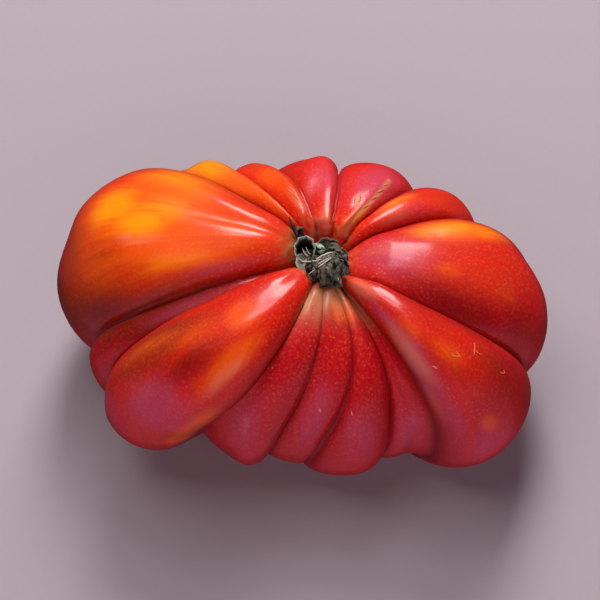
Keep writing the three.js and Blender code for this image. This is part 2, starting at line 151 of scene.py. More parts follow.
# Soft colour patches on the lobes: place across the lobe, station, half width across and along
# in millimetres, and strength
PATCHES = {
    # Least ripe, on the shoulders
    "gold": {
        LEFT: [(0.04, 0.415, 7, 8, 1), (0.2, 0.37, 5, 9, 1), (0.02, 0.34, 6, 9, 0.7),
               (-0.66, 0.37, 6, 12, 0.6), (-0.5, 0.32, 5, 9, 0.4), (0.7, 0.32, 3, 12, 0.5)],
        LEFT_BACK: [(0.2, 0.43, 5, 10, 1)],
        RIGHT: [(0.66, 0.32, 3.6, 12, 0.8), (0.6, 0.4, 4, 9, 0.6)],
        RIGHT_BACK: [(0.6, 0.3, 2.6, 8, 0.7)],
        BACK_RIGHT: [(-0.72, 0.25, 1.3, 6, 0.6)],
        FRONT_LEFT: [(-0.42, 0.42, 2.6, 12, 0.2)],
    },
    # Still turning
    "amber": {
        LEFT: [(0, 0.37, 13, 16, 0.75), (0.35, 0.3, 8, 13, 0.8), (-0.6, 0.36, 9, 18, 1),
               (0.66, 0.3, 4.5, 17, 0.95), (0.5, 0.23, 4, 8, 0.6)],
        LEFT_BACK: [(0.2, 0.36, 5, 14, 1)],
        BACK_LEFT: [(0.2, 0.36, 5, 9, 0.6)],
        RIGHT: [(0.62, 0.36, 5, 15, 1), (-0.2, 0.31, 3.2, 5, 0.6), (-0.3, 0.42, 5, 6, 0.35)],
        RIGHT_BACK: [(0.5, 0.3, 4, 9, 0.6)],
        BACK_RIGHT: [(-0.7, 0.22, 2, 9, 0.8)],
        FRONT_LEFT: [(-0.4, 0.42, 4, 20, 0.4), (-0.1, 0.34, 5, 10, 0.5), (0.1, 0.27, 5, 6, 0.75),
                     (0.58, 0.35, 3, 13, 0.9), (0.9, 0.53, 4, 10, 0.9), (0.9, 0.6, 4, 7, 0.9)],
        FRONT_RIGHT: [(-0.1, 0.37, 3.6, 8, 0.55), (-0.4, 0.3, 3, 6, 0.5),
                      (-0.92, 0.44, 2.6, 8, 0.6), (-0.4, 0.56, 3, 5, 0.5)],
        FRONT_FIRST: [(-0.6, 0.27, 1.6, 5, 0.7)],
        FRONT_SECOND: [(0.5, 0.26, 1.6, 5, 0.7)],
    },
    # Dull brown skin that is still turning, and painted shade on the left lobe's lower flank and the
    # lobes beside it
    "brown": {
        LEFT: [(0.7, 0.53, 13, 18, 0.9), (0.35, 0.5, 12, 10, 0.75), (0.5, 0.43, 7, 9, 0.95),
               (-0.2, 0.54, 14, 8, 0.6), (0.1, 0.7, 16, 14, 0.6)],
        LEFT_FRONT: [(-0.4, 0.4, 6, 24, 0.85)],
        FRONT_LEFT: [(-0.4, 0.4, 6, 20, 0.95), (0.15, 0.36, 2.5, 12, 0.5)],
        FRONT_RIGHT: [(0.35, 0.46, 5, 10, 0.5)],
    },
    # Darker red towards the creases and on the flanks that face them: painted shade
    "deep_red_and_crease_shade": {
        RIGHT: [(-0.8, 0.34, 6, 16, 0.7), (-0.7, 0.48, 8, 12, 0.45)],
        LEFT: [(0.9, 0.46, 6, 12, 0.7), (0.5, 0.6, 16, 12, 0.3)],
        LEFT_FRONT: [(-0.3, 0.4, 6, 26, 0.55)],
        FRONT_RIGHT: [(0.5, 0.5, 8, 9, 0.35)],
        FRONT_LEFT: [(0.25, 0.38, 3, 9, 0.6)],
    },
    # Painted violet sheen: a reflection painted as colour, low on the front lobes and on the
    # shoulders; the same mask also thins the coat there
    "bloom_and_painted_sheen": {
        FRONT_LEFT: [(0.4, 0.5, 6, 10, 1), (0.66, 0.5, 4, 10, 0.7), (0, 0.6, 9, 7, 0.8)],
        FRONT_THIRD: [(0.1, 0.56, 5, 13, 0.7)],
        FRONT_SECOND: [(0.3, 0.52, 4, 14, 0.7)],
        FRONT_FIRST: [(0.1, 0.56, 6, 12, 0.7)],
        FRONT_SMALL: [(0, 0.6, 4, 12, 0.7)],
        FRONT_RIGHT: [(-0.9, 0.42, 4, 20, 1), (-0.7, 0.27, 2, 9, 0.8), (-0.4, 0.62, 9, 8, 0.7)],
        RIGHT: [(0, 0.21, 7, 10, 0.8), (-0.5, 0.62, 10, 8, 0.5)],
        BACK: [(0, 0.34, 7, 12, 0.55)],
        BACK_RIGHT: [(0, 0.36, 7, 12, 0.8)],
        RIGHT_BACK: [(-0.4, 0.3, 4, 10, 0.5)],
        LEFT_FRONT: [(0.3, 0.34, 3, 14, 0.7)],
        LEFT: [(0.85, 0.26, 2.5, 16, 0.5)],
    },
    # Pale blush along the crests, partly real and partly painted light: painted highlights on the
    # inner shoulders of the back lobes, the right lobe and the front right lobe, and painted bounce
    # light on the front right lobe's shaded left flank
    "blush_and_painted_highlight": {
        LEFT: [(0.37, 0.385, 0.9, 4, 0.9), (0.45, 0.37, 0.8, 5, 0.9), (0.53, 0.355, 0.7, 3.5, 0.8),
               (0.4, 0.35, 1.6, 9, 0.7), (0.55, 0.26, 2, 6, 0.3)],
        BACK_LEFT: [(-0.1, 0.255, 2.2, 6, 0.8)],
        BACK: [(0.1, 0.21, 2.2, 6, 0.8)],
        RIGHT: [(0.2, 0.2, 4, 10, 0.6)],
        RIGHT_BACK: [(-0.4, 0.26, 2.4, 7, 0.7)],
        FRONT_LEFT: [(0.66, 0.38, 2.4, 13, 0.7), (0.2, 0.5, 5, 9, 0.35)],
        FRONT_RIGHT: [(-0.88, 0.35, 3.2, 13, 0.9), (-0.95, 0.47, 2.4, 9, 0.7),
                      (-0.3, 0.18, 2.4, 7, 1)],
        FRONT_THIRD: [(0.1, 0.55, 3, 7, 0.4)],
    },
    # Ripest skin
    "crimson": {
        RIGHT: [(-0.78, 0.3, 5, 14, 1), (-0.7, 0.42, 7, 12, 1)],
        FRONT_RIGHT: [(0.75, 0.35, 4, 12, 0.6)],
        FRONT_LEFT: [(0.35, 0.4, 4, 10, 0.8), (0.85, 0.28, 3, 8, 0.7)],
        LEFT: [(0.9, 0.4, 3, 18, 0.8)],
    },
}

# Height that a healed mark stands over the skin, in millimetres
MARK_HEIGHT = 0.16

# A thin healed crack with raised lips: half widths and heights in millimetres, and its points as
# lobe, place across it and station
CRACK_WIDTH = 0.5
CRACK_DEPTH = 0.4
LIP_WIDTH = 1.1
LIP_HEIGHT = 0.22
CRACK = [
    (BACK_RIGHT, -0.32, 0.39),
    (BACK_RIGHT, -0.38, 0.33),
    (BACK_RIGHT, -0.42, 0.28),
    (BACK_RIGHT, -0.5, 0.24),
    (BACK_RIGHT, -0.66, 0.19),
    (BACK_RIGHT, -0.84, 0.15),
]

# Fine healed marks: lobe, points as place across it and station, width in millimetres, pinkness
MARKS = [
    (BACK_RIGHT, [(-0.46, 0.375), (-0.38, 0.37), (-0.24, 0.355)], 0.45, 0.2),
    (BACK_RIGHT, [(-0.48, 0.35), (-0.4, 0.345), (-0.28, 0.33)], 0.45, 0.2),
    (BACK_RIGHT, [(-0.5, 0.32), (-0.42, 0.315), (-0.33, 0.305)], 0.4, 0.2),
    (BACK_RIGHT, [(-0.54, 0.285), (-0.46, 0.28), (-0.4, 0.272)], 0.35, 0.2),
    (BACK_RIGHT, [(0.2, 0.265), (0.24, 0.285), (0.3, 0.3)], 1.5, 0.5),
    (FRONT_RIGHT, [(-0.1, 0.375), (-0.04, 0.385), (0.02, 0.385)], 0.3, 0.5),
    (FRONT_RIGHT, [(0.06, 0.375), (0.02, 0.385), (0.0, 0.392)], 0.26, 0.5),
    (FRONT_RIGHT, [(0.52, 0.393), (0.36, 0.4), (0.22, 0.406)], 0.3, 0.3),
    (FRONT_RIGHT, [(0.36, 0.402), (0.34, 0.41), (0.36, 0.418)], 0.24, 0.3),
    (FRONT_RIGHT, [(-0.63, 0.378), (-0.6, 0.382), (-0.58, 0.386)], 0.45, 0.5),
    (FRONT_RIGHT, [(0.3, 0.47), (0.34, 0.48), (0.4, 0.475)], 0.25, 0.5),
    (FRONT_FIRST, [(-0.66, 0.482), (-0.58, 0.49), (-0.5, 0.492)], 0.5, 0.3),
    (FRONT_SECOND, [(0.34, 0.495), (0.38, 0.5), (0.42, 0.505)], 0.8, 0.4),
    (FRONT_THIRD, [(-0.4, 0.388), (-0.38, 0.39), (-0.35, 0.393)], 0.5, 0.4),
    (BACK_LEFT, [(0.16, 0.29), (0.1, 0.275), (0, 0.255), (-0.12, 0.235), (-0.22, 0.22)],
     0.36, 0.15),
    (BACK_LEFT, [(0.0, 0.29), (-0.04, 0.275), (-0.14, 0.25), (-0.28, 0.23)], 0.32, 0.15),
]

# Calyx, in millimetres from the stalk's axis, with heights from the ground
CUSHION = {"at": (0.4, -3.2, 49.4), "half": (6.4, 4.6, 2.9), "turn": -35}
STUB = {"base": (-3.2, 0.6, 48.4), "outer": (2.45, 2.75), "wall": 0.42, "height": 5.9, "lean": 15,
        "towards": 254, "slant": 1.1, "floor": 1.6, "waist": 0.12, "flare": 0.08}
# Ribs round the stub (height, number, phase) and its torn rim (depth, fineness, seed)
STUB_RIBS = ((0.1, 9, 0), (0.07, 17, 1))
STUB_RIM = ((0.45, 3, 61), (0.25, 9, 62))

# A sepal's edge is torn and thinned, and its face crumpled, wrinkled, pleated and ribbed
WIDEST = 0.37
TORN_DEPTH = 0.22
TORN_SIZE = 0.9
EDGE_THINNING = 0.65
CRUMPLE_SIZE = 1.5
WRINKLE_SIZE = 0.7
WRINKLE_SHARE = 0.55
PLEAT_HEIGHT = 0.25
PLEATS = 9
RIB_HEIGHT = 0.5
RIB_WIDTH = 0.12

# A dried sepal: middle line, width, thickness, roll and curl in degrees, crumple, and as shares a
# blunt tip, mint tint and straw tint
Sepal = namedtuple(
    "Sepal", "line width thickness roll curl crumple blunt mint straw", defaults=(0, 0, 0))
SEPALS = [
    Sepal([(-3.2, 2.2, 49.5), (-5.9, 4.7, 52.9), (-7.4, 7.0, 56.1)], 1.5, 0.5, 30, 200, 0.15),
    Sepal([(-2.4, 2, 50), (-4.6, 4.2, 51.4), (-5, 5.2, 54.3)], 3.2, 0.9, -10, 190, 0.6, 0.6),
    Sepal([(0.6, 2.2, 49.6), (0.6, 0.6, 52.4), (1.1, -1.2, 54.3)], 5.6, 0.35, 100, 300, 0.12, 0.8,
          mint=1),
    Sepal([(-0.6, 1.2, 49.6), (1.5, 2.5, 52.4), (4.3, 1.7, 52.9)], 3.4, 0.4, 40, 70, 0.3, 0.4,
          straw=0.3),
    Sepal([(0.8, 0.2, 50.2), (2.8, 0.2, 53.2), (4.5, -1, 53.1)], 3, 0.4, -40, 120, 0.3, 0.5,
          mint=0.2),
    Sepal([(-2, -1, 49.6), (-4.3, -3, 51.8), (-3.8, -6.2, 50.6)], 3.6, 0.5, 15, 90, 0.4, 0.5,
          mint=0.3, straw=0.45),
    Sepal([(0, -1.6, 51), (-1.2, -4.8, 53.6), (-2.4, -7.6, 50.4)], 5, 0.6, 10, 80, 0.7, 0.4),
    Sepal([(0.4, -1.4, 51.4), (0.8, -5.6, 54.2), (1.2, -9.4, 50.6)], 5.6, 0.6, -5, 70, 0.8, 0.5),
    Sepal([(1, -1.4, 51.4), (3, -5.6, 54), (4.4, -9.6, 51)], 5.4, 0.6, 10, 100, 0.7, 0.5),
    Sepal([(1.4, -0.8, 51), (4.8, -4, 53.6), (6.6, -7.4, 52.6)], 4.6, 0.5, 25, 170, 0.5, 0.5),
    Sepal([(1.2, -0.2, 50.4), (4.4, -1.8, 52.8), (5.8, -5, 51.2)], 4.2, 0.5, -15, 110, 0.5, 0.4),
]

# Dry fibres that lie loose over the calyx: middle line and thickness
FIBRES = [
    ([(-4.6, -3.7, 53.2), (-2.4, -4.9, 54.6), (0.4, -4.4, 54.9)], 0.28),
    ([(-2.6, -7.2, 52.8), (-0.6, -6.4, 54.3), (1.2, -5.3, 54.9), (2.7, -3.8, 54.6)], 0.28),
    ([(-1.8, -6.2, 53.4), (0.2, -5.4, 55), (2.6, -3.8, 54.9)], 0.24),
    ([(-0.9, -4.3, 54.6), (1, -3.4, 55.3), (3, -2.3, 54.8)], 0.36),
    ([(-4.2, 0.4, 52.4), (-3.4, -0.9, 51.9), (-2.4, -2.2, 52.4)], 0.42),
    ([(-3.4, 0.8, 52.8), (-2.8, -0.6, 52.4), (-2.2, -1.5, 52.9)], 0.26),
    ([(3.4, -7.6, 53.2), (4.2, -8.4, 52.8), (4.9, -9.3, 51.4)], 0.3),
]

# How ripe each lobe is, in the lobes' order: 0 is plain red and 1 is crimson
RIPENESS = (0.55, 0.2, 0.35, 0.25, 0.1, 0.1, 0.1, 0.9, 0.35, 1, 1, 1, 1, 0.5)

# How much amber each lobe has all over
TURNING = (0.3, 0.3, 0.15, 0.15, 0.45, 0.8, 0.8, 0.1, 0.25, 0, 0, 0, 0, 0.25)

# How long and how many the streaks are: reach round the axis in millimetres, and number down a lobe
STREAK_REACH = 50
STREAKS_DOWN = 9

# Stage, in metres: half the floor's side, and the point that the lights face
FLOOR_HALF = 1.6
LIT = Vector((0, 0, 0.03))

# The photograph's view: degrees above the ground, metres away, scale, and the stalk's pixel
ELEVATION = 55
DISTANCE = 0.6
PIXELS_PER_METRE = 4160
STALK_PIXEL = (320, 262)
IMAGE = 600

# Masks that the mesh carries for the skin's material
SKIN_MASKS = (*PATCHES, "pores", "olive", "cork")


def linear(code):
    """An sRGB hex value as linear red, green and blue."""
    shares = [int(code[k:k + 2], 16) / 255 for k in (1, 3, 5)]
    return tuple(s / 12.92 if s <= 0.04045 else ((s + 0.055) / 1.055) ** 2.4 for s in shares)


def ease(v, stations, values):
    """Value at stations v of a line that eases from one given value to the next."""
    result = np.full_like(v, float(values[0]))
    for a, b, p, q in zip(stations, stations[1:], values, values[1:]):
        x = np.clip((v - a) / (b - a), 0, 1)
        result += (q - p) * (1 - np.cos(np.pi * x)) / 2
    return result


def through(v, stations, values):
    """Value at stations v of one smooth curve through all the given values."""
    at = np.clip(v, stations[0], stations[-1])
    result = np.zeros_like(at)
    for k, value in enumerate(values):
        weight = np.full_like(at, float(value))
        for j, other in enumerate(stations):
            if j != k:
                weight *= (at - other) / (stations[k] - other)
        result += weight
    return result


def lerp(a, b, t):
    return a + (b - a) * t


def bell(x, centre, width):
    """1 at the centre, and falling softly on both sides over a width."""
    return np.exp(-((x - centre) / width) ** 2)


def unit(vectors):
    """Vectors at a length of 1."""
    return vectors / np.maximum(np.linalg.norm(vectors, axis=-1, keepdims=True), 1e-9)


def crest(lobe, v):
    """Radius and height of a lobe's crest at stations v."""
    r = np.empty_like(v)
    z = np.empty_like(v)
    part = v <= CAVITY_EDGE
    r[part] = CAVITY_RADIUS * v[part] / CAVITY_EDGE
    z[part] = CAVITY_FLOOR
    part = (v > CAVITY_EDGE) & (v <= SHOULDER)
    x = (v[part] - CAVITY_EDGE) / (SHOULDER - CAVITY_EDGE)
    r[part] = lerp(CAVITY_RADIUS, lobe.shoulder, lerp(x, 1 - np.cos(np.pi * x / 2), lobe.knuckle))
    up = lerp((1 - np.cos(np.pi * x)) / 2, np.sin(np.pi * x / 2), lobe.knuckle)
    z[part] = lerp(CAVITY_FLOOR, lobe.top, up)
    part = (v > SHOULDER) & (v <= WAIST)
    t = (v[part] - SHOULDER) / (WAIST - SHOULDER) * np.pi / 2
    r[part] = lerp(lobe.shoulder, lobe.reach, np.sin(t))
    z[part] = lerp(lobe.waist, lobe.top, np.maximum(np.cos(t), 0) ** (2 / UPPER_FULLNESS))
    part = (v > WAIST) & (v <= FOOT)
    t = (v[part] - WAIST) / (FOOT - WAIST) * np.pi / 2
    r[part] = lerp(lobe.foot, lobe.reach, np.maximum(np.cos(t), 0) ** (2 / LOWER_FULLNESS))
    z[part] = lobe.waist * (1 - np.sin(t))
    part = v > FOOT
    x = (1 - v[part]) / (1 - FOOT)
    r[part] = lobe.foot * x
    z[part] = BLOSSOM_HOLLOW * (1 - x * x) ** 2
    return r, z


def outline_normal(outline, v):
    """Outward normal, in the meridian's plane, of an outline given as a function of the station."""
    step = 0.004
    r0, z0 = outline(np.maximum(v - step, 0))
    r1, z1 = outline(np.minimum(v + step, 1))
    length = np.hypot(r1 - r0, z1 - z0)
    nr = (z0 - z1) / length
    nz = (r1 - r0) / length
    poles = (v == 0) | (v == 1)
    nr[poles] = 0
    nz[poles] = 1 - 2 * v[poles]
    return nr, nz


def crease(k, v):
    """Radius and height of the crease after lobe k: the mean of its neighbours, drawn inward."""
    def mean(at):
        r0, z0 = crest(LOBES[k], at)
        r1, z1 = crest(LOBES[(k + 1) % len(LOBES)], at)
        return (r0 + r1) / 2, (z0 + z1) / 2
    r, z = mean(v)
    nr, nz = outline_normal(mean, v)
    top, rim, foot = CREASES[k][1]
    depth = ease(v, DEPTH_STATIONS, (0, 0.5 * top, top, rim, foot, 0))
    return r - depth * nr, z - depth * nz


def relief(azimuth, v):
    """How deep the furrows lie, less the skin's low waves."""
    depth = np.zeros_like(v)
    for ends, half_width, start, stop, deepest in FURROWS:
        middle = ease(v, TURN_STATIONS, ends)
        off = (azimuth - middle + 180) % 360 - 180
        along = np.clip((v - start) / (stop - start), 0, 1)
        depth += deepest * bell(off, 0, half_width) * np.sin(np.pi * along) ** 2
    fade = np.sin(np.pi * v) ** 2
    for height, waves_round, waves_down, phase in RIPPLES:
        wave = np.sin(waves_round * np.radians(azimuth) + phase + waves_down * np.pi * v)
        depth -= fade * height * wave
    return depth


def skin(k, s, v):
    """Points in millimetres, and azimuths, on lobe k at s across it (-1 to 1) and stations v."""
    last = (k - 1) % len(LOBES)
    side = last if s < 0 else k
    soft = CREASES[side][2]
    before = through(v, CREASE_STATIONS, CREASES[last][0]) - (360 if k == 0 else 0)
    after = through(v, CREASE_STATIONS, CREASES[k][0])
    lowest = lerp(before, after, CREST_MARGIN)
    highest = lerp(after, before, CREST_MARGIN)
    middle = np.clip(ease(v, TURN_STATIONS, LOBES[k].azimuth), lowest, highest)
    azimuth = lerp(middle, before if s < 0 else after, abs(s))
    weight = lerp(math.sqrt(1 - abs(s) ** LOBE_FULLNESS), (1 + math.cos(math.pi * s)) / 2, soft)

    def outline(at):
        r0, z0 = crease(side, at)
        r1, z1 = crest(LOBES[k], at)
        return lerp(r0, r1, weight), lerp(z0, z1, weight)
    r, z = outline(v)
    nr, nz = outline_normal(outline, v)
    depth = relief(azimuth, v)
    r = r - depth * nr
    z = np.maximum(z - depth * nz - FOOT_FLAT, 0)
    angle = np.radians(azimuth)
    points = np.stack([r * np.cos(angle), r * np.sin(angle), z], -1) + STALK
    return points, azimuth, weight


def skin_point(k, s, v):
    """One point on the skin, in millimetres."""
    return skin(k, s, np.array([float(v)]))[0][0]


def patch_mask(points, patches):
    """Strength from 0 to 1 of soft patches on the skin, each stretched along its meridian."""
    mask = np.zeros(points.shape[:-1])
    for k, spots in patches.items():
        for s, v, across, along, strength in spots:
            ahead = unit(skin_point(k, s, v + NEAR) - skin_point(k, s, v - NEAR))
            offset = points - skin_point(k, s, v)
            down = offset @ ahead
            aside = np.sqrt(np.maximum((offset ** 2).sum(-1) - down ** 2, 0))
            mask = np.maximum(mask, strength * np.exp(-(down / along) ** 2 - (aside / across) ** 2))
    return mask


def line_distance(points, line):
    """Distance in millimetres of each point from a line of points."""
    nearest = np.full(points.shape[:-1], np.inf)
    for a, b in zip(line, line[1:]):
        along = np.clip((points - a) @ (b - a) / ((b - a) @ (b - a)), 0, 1)
        distance = np.linalg.norm(points - a - along[..., None] * (b - a), axis=-1)
        nearest = np.minimum(nearest, distance)
    return nearest


def noise_field(points, size, seed):
    """Smooth noise from -1 to 1 at points, with features of a size, both in millimetres."""
    offset = Vector((seed * 17.3, seed * 5.1, seed * 9.7))
    flat = points.reshape(-1, 3) / size
    values = [noise.noise(Vector(p) + offset) for p in flat.tolist()]
    return np.array(values).reshape(points.shape[:-1])


def smooth_mesh(name, points, faces, layers):
    """A smooth mesh of points in millimetres, with layers that hold a number for each point."""
    mesh = bpy.data.meshes.new(name)
    mesh.from_pydata((points * MM).tolist(), [], faces)
    mesh.polygons.foreach_set("use_smooth", [True] * len(faces))
    for layer, values in layers.items():
        data = mesh.attributes.new(layer, "FLOAT", "POINT").data
        data.foreach_set("value", values.astype(np.float32))
    mesh.update()
    return mesh


class FruitGrid:
    """The fruit's fine grid of points: rows down the meridians, columns round the stalk's axis."""

    def __init__(self, rows, fineness):
        places = []
        for k, lobe in enumerate(LOBES):
            count = lobe.columns * fineness
            for column in range(count):
                across = column / count * 2 - 1
                places.append((k, lerp(across, math.sin(across * math.pi / 2), CROWDING)))
        v = np.linspace(0, 1, rows + 1)
        points, azimuth, weight = zip(*(skin(k, s, v) for k, s in places))
        self.points = np.stack(points, 1)
        self.azimuth = np.stack(azimuth, 1)
        self.weight = np.array(weight) * np.ones((rows + 1, 1))
        self.lobe = np.array([k for k, _ in places]) * np.ones((rows + 1, 1), int)
        self.station = v[:, None] * np.ones((1, len(places)))

    def press(self, heights):
        """Moves the points out by heights in millimetres, but not under the ground."""
        down = np.gradient(self.points, axis=0)
        onward = np.roll(self.points, -1, 1) - np.roll(self.points, 1, 1)
        self.points = self.points + unit(np.cross(down, onward)) * heights[..., None]
        self.points[..., 2] = np.maximum(self.points[..., 2], 0)

    def mesh(self, name, masks):
        """A closed mesh with masks: the rows between one point at the stalk and one at the scar."""
        rows, columns = self.station.shape
        first = (rows - 2) * columns
        faces = []
        for column in range(columns):
            after = (column + 1) % columns
            faces.append((first, column, after))
            for row in range(rows - 3):
                a = row * columns + column
                b = row * columns + after
                faces.append((a, a + columns, b + columns, b))
            base = (rows - 3) * columns
            faces.append((base + column, first + 1, base + after))

        def closed(values):
            ends = [values[0].mean(0), values[-1].mean(0)]
            return np.concatenate([values[1:-1].reshape(first, -1), ends])
        layers = {mask: closed(values[..., None]).reshape(-1) for mask, values in masks.items()}
        mesh = smooth_mesh(name, closed(self.points), faces, layers)

        # Where the skin's streaks lie: round the axis, and down the meridian as the third number
        angle = np.radians(self.azimuth[1:-1])
        flow = np.stack([np.cos(angle), np.sin(angle), self.station[1:-1]], -1).reshape(-1, 3)
        flow = np.concatenate([flow, [(0, 0, 0), (0, 0, 1)]]).astype(np.float32)
        layer = mesh.attributes.new("flow", "FLOAT_VECTOR", "POINT")
        layer.data.foreach_set("vector", flow.reshape(-1))
        return mesh


def smooth_line(points, count):
    """Points of one smooth curve through the given points, and its unit directions."""
    corners = np.array(points, float)
    stations = np.linspace(0, 1, len(corners))
    t = np.linspace(0, 1, count)
    line = np.stack([through(t, stations, corners[:, axis]) for axis in range(3)], -1)
    return line, unit(np.gradient(line, axis=0))


def circle(count):
    """Angles of points evenly round a ring."""
    return np.linspace(0, 2 * np.pi, count, endpoint=False)


def carried_sides(ahead, roll):
    """Side directions square to a line, rolled by degrees and carried along it without a twist."""
    side = unit(np.cross(ahead[0], (0.0, 0.0, 1.0)))
    face = np.cross(side, ahead[0])
    side = side * math.cos(math.radians(roll)) - face * math.sin(math.radians(roll))
    sides = []
    for direction in ahead:
        side = unit(side - (side @ direction) * direction)
        sides.append(side)
    return np.array(sides)


def tube(middle, side, up, half_width, half_height, around):
    """Rings round a middle line, with half widths and half heights along it."""
    angle = circle(around)[:, None]
    return middle[:, None] + half_width[:, None, None] * side[:, None] * np.cos(angle) + (
        half_height[:, None, None] * up[:, None] * np.sin(angle))


class Tissue:
    """Collects closed tubes of rings into one mesh, with the masks that its material reads."""

    MASKS = ("ridge", "mint", "straw", "hollow", "pink")

    def __init__(self):
        self.points = []
        self.faces = []
        self.masks = {name: [] for name in self.MASKS}

    def add_tube(self, rings, **masks):
        """Adds rings of points as a closed tube, with a mask value for each point."""
        rows, around, _ = rings.shape
        base = sum(len(part) for part in self.points)
        ends = np.stack([rings[0].mean(0), rings[-1].mean(0)])
        self.points.append(np.concatenate([rings.reshape(-1, 3), ends]))
        start, stop = base + rows * around, base + rows * around + 1
        for row in range(rows - 1):
            for k in range(around):
                a = base + row * around + k
                b = base + row * around + (k + 1) % around
                self.faces.append((a, b, b + around, a + around))
        last = base + (rows - 1) * around
        for k in range(around):
            after = (k + 1) % around
            self.faces.append((start, base + after, base + k))
            self.faces.append((stop, last + k, last + after))
        for name in self.MASKS:
            values = np.broadcast_to(masks.get(name, 0.0), (rows, around))
            self.masks[name].append(np.append(values, [values[0].mean(), values[-1].mean()]))

    def mesh(self, name):
        """One mesh of all the tubes, moved from the stalk's axis to the shared frame."""
        masks = {mask: np.concatenate(parts) for mask, parts in self.masks.items()}
        return smooth_mesh(name, np.concatenate(self.points) + STALK, self.faces, masks)


def sheet_normals(points):
    """Unit normals of an open grid of points."""
    return unit(np.cross(np.gradient(points, axis=0), np.gradient(points, axis=1)))


def add_sepal(tissue, sepal, seed, rows, columns):
    """Adds a dried sepal: a thin leaf, curled across, crumpled, with a rib and a torn edge."""
    line, ahead = smooth_line(sepal.line, rows)
    side = carried_sides(ahead, sepal.roll)
    face = np.cross(side, ahead)
    t = np.linspace(0, 1, rows)
    across = np.linspace(-1, 1, columns)
    taper = np.sin(np.pi * np.clip(t, 0.02, 0.985) ** 0.7) ** 0.6
    taper = np.where(t > WIDEST, np.maximum(taper, sepal.blunt), taper)
    torn = 1 + TORN_DEPTH * noise_field(np.stack([line + side, line - side], 1), TORN_SIZE, seed)
    half = sepal.width / 2 * taper[:, None] * np.where(across > 0, torn[:, :1], torn[:, 1:])
    turn = math.radians(sepal.curl) / 2
    radius = half / turn
    out = radius * np.sin(across * turn)
    up = radius * (1 - np.cos(across * turn))
    points = line[:, None] + side[:, None] * out[..., None] + face[:, None] * up[..., None]
    crumple = noise_field(points, CRUMPLE_SIZE, seed + 20)
    crumple += WRINKLE_SHARE * noise_field(points, WRINKLE_SIZE, seed + 40)
    pleats = PLEAT_HEIGHT * np.cos(across * PLEATS + 2 * t[:, None]) * (1 - across ** 2)
    height = sepal.crumple * (crumple + pleats) * np.sin(np.pi * np.clip(t, 0.12, 0.9))[:, None]
    points = points + sheet_normals(points) * height[..., None]
    thick = sepal.thickness / 2 * (1 - EDGE_THINNING * np.abs(across) ** 3)
    thick = thick * (0.45 + 0.55 * taper[:, None]) * (1 + RIB_HEIGHT * bell(across, 0, RIB_WIDTH))
    raised = thick[..., None] * sheet_normals(points)

    def both(top, bottom):
        return np.concatenate([top, bottom[:, -2:0:-1]], 1)
    # Raised crumples pale and sunken ones dark, turned over on the underside: painted light and shade
    # on the folds
    ridge = np.clip(0.5 + 0.6 * crumple, 0, 1)
    edge = np.clip(np.abs(across) * 2 - 1, 0, 1) * np.ones((rows, 1))
    edge = both(edge, edge)
    tip = np.clip(t * 3 - 1.6, 0, 1)[:, None]
    tissue.add_tube(
        both(points + raised, points - raised), ridge=both(ridge, 1 - ridge),
        mint=sepal.mint * np.maximum(edge, tip), straw=sepal.straw * (0.4 + 0.6 * edge))


def add_stub(tissue, around, steps):
    """Adds the stalk's stub: a ribbed hollow tube with a torn, slanting rim and a closed floor."""
    angle = circle(around)
    rim = np.stack([np.cos(angle), np.sin(angle), 0 * angle], -1)
    torn = sum(depth * noise_field(rim * fineness, 1, seed) for depth, fineness, seed in STUB_RIM)
    towards = math.radians(STUB["towards"])
    height = STUB["height"] - STUB["slant"] * np.cos(angle - towards) + torn
    ribs = sum(high * np.cos(count * angle + phase) for high, count, phase in STUB_RIBS)
    a, b = STUB["outer"]
    wall = STUB["wall"]
    rings = []
    hollow = []

    def add_ring(u, inset, ribbed, depth):
        girth = 1 - STUB["waist"] * math.sin(math.pi * u) + STUB["flare"] * u ** 3
        halves = [half * girth - inset + ribbed * ribs for half in (a, b)]
        rings.append(np.stack([halves[0] * rim[:, 0], halves[1] * rim[:, 1], u * height], -1))
        hollow.append(depth)
    for u in np.linspace(0, 1, steps):
        add_ring(u, 0, 1, 0.0)
    rings.append(rings[-1] * (1 - 0.5 * wall / a, 1 - 0.5 * wall / b, 1) + (0, 0, 0.16))
    hollow.append(0.05)
    # The inside darkens with depth through the hollow mask: painted shade in the stub's hollow
    for u in np.linspace(1, STUB["floor"] / STUB["height"], steps):
        add_ring(u, wall, 1.6, min(0.2 + 2.2 * (1 - u), 1))
    for share in (0.6, 0.25):
        rings.append(rings[-1] * (share, share, 1))
        hollow.append(1.0)
    rings = np.array(rings)
    rings = rings + 0.16 * noise_field(rings, 1.1, 63)[..., None] * np.array([1, 1, 0.4])
    lean = Matrix.Rotation(towards, 3, "Z") @ Matrix.Rotation(math.radians(STUB["lean"]), 3, "Y")
    rings = rings @ np.array(lean @ Matrix.Rotation(-towards, 3, "Z")).T + np.array(STUB["base"])
    # Paler where raised: painted light on the ridges, and painted shade between them
    ridge = np.clip(0.5 + 0.5 * noise_field(rings, 0.8, 64) + 2 * ribs, 0, 1)
    brink = bell(np.arange(len(rings)), steps, 1.6)[:, None]
    tissue.add_tube(
        rings, ridge=ridge, hollow=np.array(hollow)[:, None], straw=0.3 * brink, mint=0.35 * brink)


